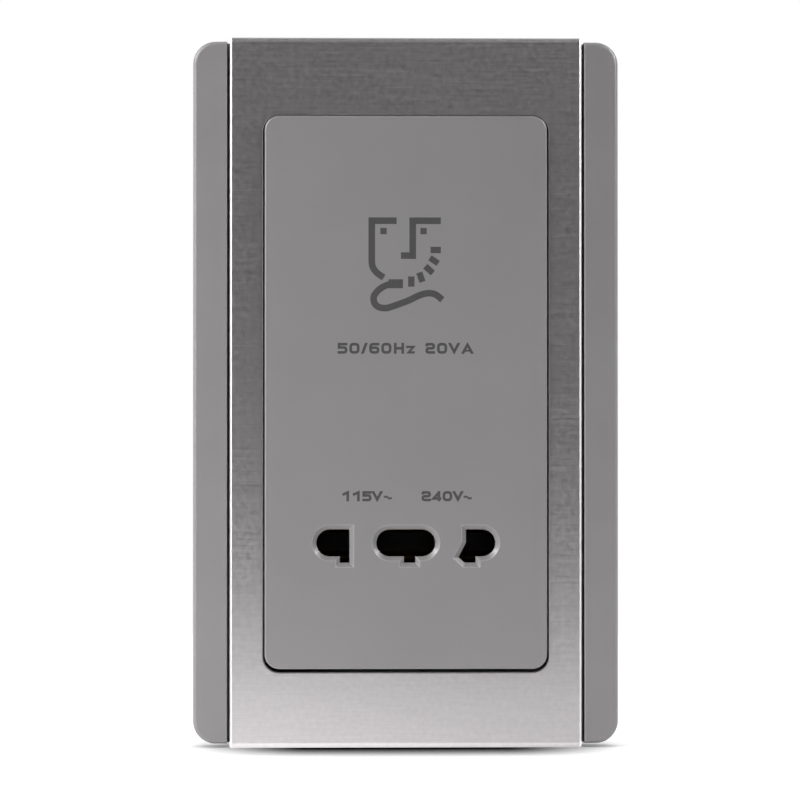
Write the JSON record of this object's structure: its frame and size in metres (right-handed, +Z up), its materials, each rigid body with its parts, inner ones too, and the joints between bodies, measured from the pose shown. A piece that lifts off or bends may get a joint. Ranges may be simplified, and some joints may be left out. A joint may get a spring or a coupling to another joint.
{
  "type": "shaver socket",
  "caption": "Wall-mounted shaver outlet: folded satin metal surround between grey cheeks, raised panel with shaped pin openings, transformer housing behind.",
  "frame": {"origin": "centre of the wall plane, midway between the fixing holes", "axes": "+X to the right seen from the front, +Y into the wall, +Z up along the plate's length"},
  "size_m": [0.0878, 0.0476, 0.1466],
  "materials": {
    "satin_metal": "satin brushed, with bright cut edges",
    "grey_frame": "fine matt moulding",
    "grey_panel": "fine matt moulding",
    "grid_plastic": "matt moulding",
    "housing_plastic": "semi-matt moulding",
    "carrier_plastic": "matt black moulding",
    "contact_brass": "stamped",
    "core_steel": "varnished laminations",
    "bobbin_nylon": "natural nylon",
    "enamelled_copper": "enamelled wire",
    "polyester_tape": "yellow film",
    "cutout_metal": "plain can",
    "block_plastic": "semi-matt moulding",
    "terminal_brass": "machined",
    "terminal_screw_brass": "machined",
    "spring_bronze": "rolled strip",
    "zinc_steel": "zinc plated"
  },
  "bodies": {
    "root": {"metal_surround": "satin_metal", "plate_frame": "grey_frame", "socket_panel": "grey_panel", "mounting_grid": "grid_plastic", "rear_housing": "housing_plastic", "contact_carrier": "carrier_plastic", "contact_retainer": "carrier_plastic", "left_contact": "contact_brass", "centre_contact": "contact_brass", "right_contact": "contact_brass", "core_e_stack": "core_steel", "core_i_stack": "core_steel", "bobbin": "bobbin_nylon", "primary_winding": "enamelled_copper", "secondary_winding": "enamelled_copper", "winding_tape": "polyester_tape", "thermal_cutout": "cutout_metal", "terminal_block": "block_plastic", "live_terminal": "terminal_brass", "neutral_terminal": "terminal_brass", "earth_terminal": "terminal_brass", "plate_earth_terminal": "terminal_brass", "earth_spring": "spring_bronze", "case_screws": "zinc_steel", "carrier_screws": "zinc_steel", "retainer_screws": "zinc_steel", "core_screws": "zinc_steel", "block_screws": "zinc_steel", "terminal_screws": "terminal_screw_brass", "plate_earth_screw": "terminal_screw_brass"}
  },
  "joints": []
}
